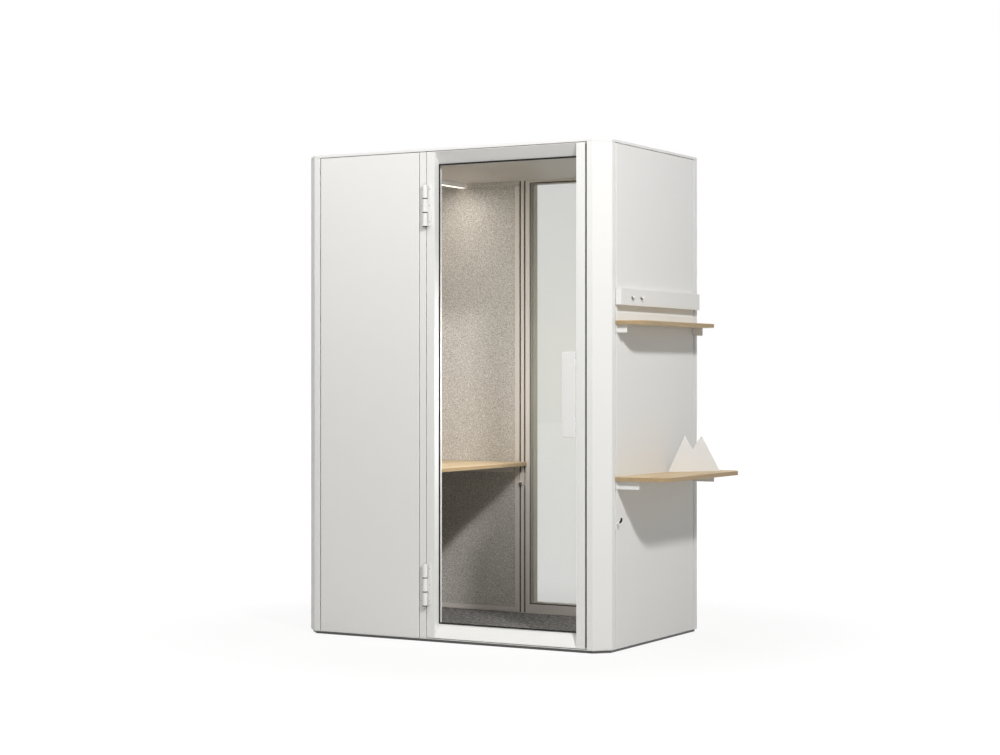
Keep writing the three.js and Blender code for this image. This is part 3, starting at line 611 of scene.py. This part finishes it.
FACING_FRONT = (math.radians(90), 0.0, 0.0)
FACING_DOWN = (math.radians(180), 0.0, 0.0)
FACING_UP = (0.0, 0.0, 0.0)
SCREW_SINK = 0.0002
SOCKET_SHARE = 0.45  # of a screw head's radius
HEIGHT_SHARE = 0.3
HINGE_LEAF_SHEET = 0.003
HINGE_SCREWS = 3
HINGE_SCREW_RADIUS = 0.0034
HINGE_SCREW_INSET = 0.008
HINGE_SCREW_END = 0.022
GRILLE_SCREWS = 3
GRILLE_SCREW_RADIUS = 0.003
GRILLE_SCREW_INSET = 0.007
THRESHOLD_SCREWS = 4
THRESHOLD_SCREW_RADIUS = 0.0035
THRESHOLD_SCREW_INSET = 0.06
LEDGER_SHEET = 0.004
LEDGER_SCREWS = 4
LEDGER_SCREW_RADIUS = 0.0035
LEDGER_SCREW_INSET = 0.017
LEDGER_SCREW_FROM_WALL = 0.068
LEDGER_SCREW_FROM_END = 0.034
screws = screw_row()


def fasten(name, body, first, last, count, turn, radius):
    """A row of screw heads from one place to another."""
    first, last = Vector(first), Vector(last)
    heads = screws.make(
        name, First=first, Step=(last - first) / (count - 1), Count=count, Turn=turn,
        Radius=radius, Socket=SOCKET_SHARE * radius, Height=HEIGHT_SHARE * radius,
    )
    add_piece(name, heads, body, "bare_steel")


def add_hinge_screws():
    for level in ("lower", "upper"):
        for leaf, body in (("jamb_leaf", "pod"), ("door_leaf", "door")):
            low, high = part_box(f"{level}_hinge_{leaf}")
            x = low.x + HINGE_SCREW_INSET if leaf == "jamb_leaf" else high.x - HINGE_SCREW_INSET
            y = high.y - HINGE_LEAF_SHEET + SCREW_SINK
            fasten(
                f"{level}_hinge_{leaf}_screws", body,
                (x, y, low.z + HINGE_SCREW_END), (x, y, high.z - HINGE_SCREW_END),
                HINGE_SCREWS, FACING_FRONT, HINGE_SCREW_RADIUS,
            )


def add_grille_screws():
    low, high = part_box("ceiling_grille")
    z = low.z + SCREW_SINK
    for side, x in (("left", low.x + GRILLE_SCREW_INSET), ("right", high.x - GRILLE_SCREW_INSET)):
        fasten(
            f"grille_screws_{side}", "pod",
            (x, low.y + GRILLE_SCREW_INSET, z), (x, high.y - GRILLE_SCREW_INSET, z),
            GRILLE_SCREWS, FACING_DOWN, GRILLE_SCREW_RADIUS,
        )


def add_threshold_screws():
    low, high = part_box("threshold")
    y = (low.y + high.y) / 2
    z = high.z - SCREW_SINK
    fasten(
        "threshold_screws", "pod",
        (low.x + THRESHOLD_SCREW_INSET, y, z), (high.x - THRESHOLD_SCREW_INSET, y, z),
        THRESHOLD_SCREWS, FACING_UP, THRESHOLD_SCREW_RADIUS,
    )


def add_ledger_screws():
    low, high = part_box("desk_ledger")
    z = high.z - LEDGER_SHEET + SCREW_SINK
    for side, y in (("front", low.y + LEDGER_SCREW_INSET), ("back", high.y - LEDGER_SCREW_INSET)):
        fasten(
            f"ledger_screws_{side}", "pod",
            (low.x + LEDGER_SCREW_FROM_WALL, y, z), (high.x - LEDGER_SCREW_FROM_END, y, z),
            LEDGER_SCREWS, FACING_DOWN, LEDGER_SCREW_RADIUS,
        )


add_hinge_screws()
add_grille_screws()
add_threshold_screws()
add_ledger_screws()


# Dark strips, collars and sleeves: painted shade in gaps and on small parts

HINGE_KNUCKLES = 3
# black collars at the knuckle gaps, painted shade for the gaps
KNUCKLE_SHADE_WALL = 0.001
KNUCKLE_SHADE_HEIGHT = 0.0045
# play beside the black strips of painted shade in the grooves and on the latch stile
SHADE_STRIP_PLAY = 0.0003
CROWN_SHARE = 0.4  # of a shade strip's depth
CROWN_STEPS = 8
# grooves of the back upright, filled with black strips as painted shade
GROOVE_WIDTH = 0.0085
GROOVE_BOTTOM = 0.4318
GROOVE_SHADE_FRONT = 0.4225
HOOK_PLAY = 0.002
# black strip on the latch stile's edge, painted shade for the deep gap between door and jamb
LATCH_SHADE_THICKNESS = 0.0014
LATCH_SHADE_INSET = 0.005
LATCH_SHADE_DEPTH = 0.04
PEGS = 2
PEG_TILT = math.radians(70)
PEG_SPACING = 0.093
# dark sleeves on the rail's pegs, painted shade for their shadows on the rail
PEG_SHADE_FIRST = (0.8452, -0.315, 1.5804)
PEG_SHADE_RADIUS = 0.0054
PEG_SHADE_WALL = 0.0012
PEG_SHADE_LENGTH = 0.012
# the side hook's bent rod; its end gets a black sleeve of painted shade
HOOK_BEND = (
    Vector((0.812, -0.421, 0.573)), Vector((0.838, -0.421, 0.573)), Vector((0.838, -0.421, 0.595)),
)
HOOK_TIP_FROM = 0.45  # share of the bend that stays bare
HOOK_TIP_STEPS = 6
HOOK_TIP_RADIUS = 0.0046
TIP_SIDES = 12
TIP_ROUNDING = ((0.5, 0.86), (0.85, 0.5))  # reach past the rod and girth, in radii of the tip


def add_knuckle_gap_shade():
    """Black collars between the knuckles, flush with them: painted shade for the gaps between the knuckles
    and under the barrel.
    """
    collars = collar_row("black_rubber")
    for level in ("lower", "upper"):
        low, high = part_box(f"{level}_hinge_jamb_leaf")
        pin_low, pin_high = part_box(f"{level}_hinge_pin")
        axis = (pin_low + pin_high) / 2
        barrel = axis.y - low.y
        rings = collars.make(
            f"{level}_knuckle_gap_shade", First=(axis.x, axis.y, low.z),
            Step=(0.0, 0.0, (high.z - low.z) / HINGE_KNUCKLES), Count=HINGE_KNUCKLES, Turn=FACING_UP,
            Radius=barrel - KNUCKLE_SHADE_WALL / 2, Wall=KNUCKLE_SHADE_WALL, Height=KNUCKLE_SHADE_HEIGHT,
        )
        add_piece(f"{level}_knuckle_gap_shade", rings, "pod", "black_rubber")


def add_strip(name, body, section, foot, top):
    """A black strip of painted shade: an outline in X and Y carried from one height to another."""
    count = len(section)
    corners = [(x, y, z) for z in (foot, top) for x, y in section]
    sides = [(i, (i + 1) % count, (i + 1) % count + count, i + count) for i in range(count)]
    ends = [tuple(reversed(range(count))), tuple(range(count, 2 * count))]
    mesh = bpy.data.meshes.new(name)
    mesh.from_pydata(corners, [], sides + ends)
    add_piece(name, mesh, body, "black_rubber")


def crowned(left, right, back, front):
    """A flat back and a rounded front, as seen from above."""
    middle, half = (left + right) / 2, (right - left) / 2
    shoulder = front + (back - front) * CROWN_SHARE
    turns = [math.pi * i / CROWN_STEPS for i in range(CROWN_STEPS + 1)]
    crown = [
        (middle - half * math.cos(turn), shoulder + (front - shoulder) * math.sin(turn)) for turn in turns
    ]
    return [(left, back), *crown, (right, back)]


def add_groove_shade_strips():
    """Black strips in both grooves of the back upright as painted shade, left out where the inner hook sits.
    """
    low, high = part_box("back_upright")
    room_low, room_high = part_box("felt_back_trim")
    hook_low, hook_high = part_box("inner_hook")
    for side, x in (("left", low.x), ("right", high.x - GROOVE_WIDTH)):
        section = crowned(x + SHADE_STRIP_PLAY, x + GROOVE_WIDTH - SHADE_STRIP_PLAY, GROOVE_BOTTOM, GROOVE_SHADE_FRONT)
        add_strip(f"groove_shade_strip_{side}_lower", "pod", section, room_low.z, hook_low.z - HOOK_PLAY)
        add_strip(f"groove_shade_strip_{side}_upper", "pod", section, hook_high.z + HOOK_PLAY, room_high.z)


# A black strip on the latch stile's edge: painted shade for the deep gap beside the door.
def add_latch_gap_shade():
    low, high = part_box("door_latch_stile")
    inside = high.x + SHADE_STRIP_PLAY
    outside = inside + LATCH_SHADE_THICKNESS
    front = low.y + LATCH_SHADE_INSET
    back = front + LATCH_SHADE_DEPTH
    section = [
        (inside, front), (outside, front + LATCH_SHADE_THICKNESS),
        (outside, back), (inside, back + LATCH_SHADE_THICKNESS),
    ]
    add_strip("latch_gap_shade", "door", section, low.z + LATCH_SHADE_INSET, high.z - LATCH_SHADE_INSET)


# Dark sleeves on the rail's pegs: painted shade for the pegs' shadows on the rail.
def add_peg_shade_sleeves():
    sleeves = collar_row("dark_steel").make(
        "peg_shade_sleeves", First=PEG_SHADE_FIRST, Step=(0.0, PEG_SPACING, 0.0), Count=PEGS,
        Turn=(0.0, PEG_TILT, 0.0),
        Radius=PEG_SHADE_RADIUS, Wall=PEG_SHADE_WALL, Height=PEG_SHADE_LENGTH,
    )
    add_piece("peg_shade_sleeves", sleeves, "pod", "dark_steel")


def dipped_tip(path, radius):
    """A closed sleeve with a rounded end, drawn over the end of a rod that bends in the XZ plane."""
    travel = (path[-1] - path[-2]).normalized()
    centres = path + [path[-1] + travel * radius * reach for reach, _ in TIP_ROUNDING]
    girths = [radius] * len(path) + [radius * girth for _, girth in TIP_ROUNDING]
    sideways = Vector((0.0, 1.0, 0.0))
    corners, faces = [], []
    for i, (centre, girth) in enumerate(zip(centres, girths)):
        ahead = centres[min(i + 1, len(centres) - 1)]
        behind = centres[max(i - 1, 0)]
        across = sideways.cross((ahead - behind).normalized())
        for k in range(TIP_SIDES):
            turn = 2 * math.pi * k / TIP_SIDES
            corners.append(centre + girth * (math.cos(turn) * across + math.sin(turn) * sideways))
    last_ring = len(corners) - TIP_SIDES
    for base in range(0, last_ring, TIP_SIDES):
        for k in range(TIP_SIDES):
            after = (k + 1) % TIP_SIDES
            faces.append((base + k, base + after, base + TIP_SIDES + after, base + TIP_SIDES + k))
    faces += [tuple(reversed(range(TIP_SIDES))), tuple(range(last_ring, len(corners)))]
    return corners, faces


def add_hook_tip_shade():
    """A black sleeve over the end of the side hook's bent rod: painted shade for its shaded underside and
    shadow.
    """
    start, corner, end = HOOK_BEND
    shares = [HOOK_TIP_FROM + (1 - HOOK_TIP_FROM) * i / HOOK_TIP_STEPS for i in range(HOOK_TIP_STEPS + 1)]
    path = [(1 - t) ** 2 * start + 2 * t * (1 - t) * corner + t ** 2 * end for t in shares]
    corners, faces = dipped_tip(path, HOOK_TIP_RADIUS)
    mesh = bpy.data.meshes.new("side_hook_tip_shade")
    mesh.from_pydata(corners, [], faces)
    shell = bmesh.new()
    shell.from_mesh(mesh)
    bmesh.ops.recalc_face_normals(shell, faces=shell.faces)
    for face in shell.faces:
        face.smooth = len(face.verts) == 4
    shell.to_mesh(mesh)
    shell.free()
    add_piece("side_hook_tip_shade", mesh, "pod", "black_rubber")


add_knuckle_gap_shade()
add_groove_shade_strips()
add_latch_gap_shade()
add_peg_shade_sleeves()
add_hook_tip_shade()


# Studio

KEY_PLACE = Vector((3.95, -3.50, 4.44))
KEY_TARGET = Vector((0.40, -0.30, 1.10))
KEY_SIZE = 0.45
KEY_POWER = 248.0
SOFTBOX_PLACE = Vector((-1.0, -2.6, 4.0))
SOFTBOX_TARGET = Vector((-0.2, -0.4, 1.4))
SOFTBOX_SIZE = 3.2
SOFTBOX_POWER = 60.0
SIDE_SOFTBOX_PLACE = Vector((4.0, 2.3, 2.2))
SIDE_SOFTBOX_TARGET = Vector((0.81, 0.0, 1.3))
SIDE_SOFTBOX_SIZE = 2.2
SIDE_SOFTBOX_POWER = 9.0
BACK_SOFTBOX_PLACE = Vector((-3.6, 3.6, 2.0))
BACK_SOFTBOX_TARGET = Vector((-0.3, 0.2, 1.2))
BACK_SOFTBOX_SIZE = 2.6
BACK_SOFTBOX_POWER = 170.0
CABIN_LAMP_PLACE = Vector((-0.45, 0.02, 2.17))
CABIN_LAMP_TARGET = CABIN_LAMP_PLACE - Vector((0.0, 0.0, 1.0))
CABIN_LAMP_SIZE = (0.05, 0.55)
CABIN_LAMP_POWER = 2.0
CABIN_LAMP_COLOUR = (1.0, 0.96, 0.90)
CABIN_FILL_PLACE = Vector((0.50, -0.28, 1.38))
CABIN_FILL_TARGET = Vector((-0.60, 0.42, 0.50))
CABIN_FILL_SIZE = 0.25
CABIN_FILL_POWER = 7.5
AMBIENT = 0.115
WHITE = (1.0, 1.0, 1.0)
FLOOR_COLOUR = (0.58, 0.575, 0.56)
FLOOR_HALF_WIDTH = 40.0
FLOOR_SHADE = 0.15  # share of the floor's own shading that the camera sees beside the pod
FLOOR_SHADE_FROM = 1.1
FLOOR_SHADE_TO = 2.6
FLOOR_GLOW = 1.05


def add_lamp(name, place, target, size, power, colour=WHITE):
    """A soft lamp, round where size is one number, seen neither by the camera nor in gloss."""
    lamp = bpy.data.lights.new(name, "AREA")
    lamp.energy = power
    lamp.color = colour
    if isinstance(size, tuple):
        lamp.shape = "RECTANGLE"
        lamp.size, lamp.size_y = size
    else:
        lamp.shape = "DISK"
        lamp.size = size
    stand = bpy.data.objects.new(name, lamp)
    stand.location = place
    stand.rotation_euler = (target - place).to_track_quat("-Z", "Y").to_euler()
    stand.visible_camera = False
    stand.visible_glossy = False
    bpy.context.scene.collection.objects.link(stand)


def seen_rays(finish):
    """One for rays that show the background: from the camera, off gloss, or through glass."""
    seen = 0.0
    for kind in ("Is Camera Ray", "Is Glossy Ray", "Is Transmission Ray"):
        ray = finish.add("ShaderNodeLightPath", out=kind)
        seen = finish.math("MAXIMUM", ray, seen)
    return seen


def add_world():
    world = bpy.data.worlds.new("studio")
    bpy.context.scene.world = world
    finish = Finish(world)
    light = finish.add("ShaderNodeBackground", sockets={"Color": opaque(WHITE), "Strength": AMBIENT})
    white = finish.add("ShaderNodeBackground", sockets={"Color": opaque(WHITE), "Strength": 1.0})
    mixed = finish.add("ShaderNodeMixShader", sockets={0: seen_rays(finish), 1: light, 2: white})
    finish.output(mixed, "ShaderNodeOutputWorld")


def add_floor():
    """A pale floor that is white to the camera, with the pod's shadow kept close around it."""
    material = bpy.data.materials.new("pale_floor")
    finish = Finish(material)
    matt = finish.add("ShaderNodeBsdfDiffuse", sockets={"Color": opaque(FLOOR_COLOUR)})
    white = finish.add("ShaderNodeEmission", sockets={"Color": opaque(WHITE), "Strength": FLOOR_GLOW})
    away = finish.add("ShaderNodeVectorMath", {"operation": "LENGTH"}, {0: finish.place()}, out="Value")
    shade = finish.add("ShaderNodeMapRange", {"interpolation_type": "SMOOTHSTEP"}, {
        "Value": away, "From Min": FLOOR_SHADE_FROM, "From Max": FLOOR_SHADE_TO,
        "To Min": FLOOR_SHADE, "To Max": 0.0,
    })
    share = (1.0 - shade) * seen_rays(finish)
    finish.output(finish.add("ShaderNodeMixShader", sockets={0: share, 1: matt, 2: white}))
    half = FLOOR_HALF_WIDTH
    corners = [(-half, -half, 0), (half, -half, 0), (half, half, 0), (-half, half, 0)]
    mesh = bpy.data.meshes.new("floor")
    mesh.from_pydata(corners, [], [(0, 1, 2, 3)])
    mesh.materials.append(material)
    floor = bpy.data.objects.new("floor", mesh)
    bpy.context.scene.collection.objects.link(floor)


add_lamp("key_lamp", KEY_PLACE, KEY_TARGET, KEY_SIZE, KEY_POWER)
add_lamp("overhead_softbox", SOFTBOX_PLACE, SOFTBOX_TARGET, SOFTBOX_SIZE, SOFTBOX_POWER)
add_lamp("side_softbox", SIDE_SOFTBOX_PLACE, SIDE_SOFTBOX_TARGET, SIDE_SOFTBOX_SIZE, SIDE_SOFTBOX_POWER)
add_lamp("back_softbox", BACK_SOFTBOX_PLACE, BACK_SOFTBOX_TARGET, BACK_SOFTBOX_SIZE, BACK_SOFTBOX_POWER)
add_lamp(
    "cabin_lamp", CABIN_LAMP_PLACE, CABIN_LAMP_TARGET, CABIN_LAMP_SIZE, CABIN_LAMP_POWER, CABIN_LAMP_COLOUR,
)
add_lamp("cabin_fill", CABIN_FILL_PLACE, CABIN_FILL_TARGET, CABIN_FILL_SIZE, CABIN_FILL_POWER)
add_world()
add_floor()


# Camera

CAMERA_PLACE = (4.8908, -8.6336, 1.2218)
CAMERA_YAW = math.radians(29.64)
CAMERA_LENS = 74.17
SENSOR_WIDTH = 36.0

lens = bpy.data.cameras.new("camera")
lens.lens = CAMERA_LENS
lens.sensor_width = SENSOR_WIDTH
lens.sensor_fit = "HORIZONTAL"
camera = bpy.data.objects.new("camera", lens)
camera.location = CAMERA_PLACE
camera.rotation_euler = (math.radians(90), 0.0, CAMERA_YAW)
bpy.context.scene.collection.objects.link(camera)
bpy.context.scene.camera = camera
bpy.context.scene.view_settings.view_transform = "Standard"
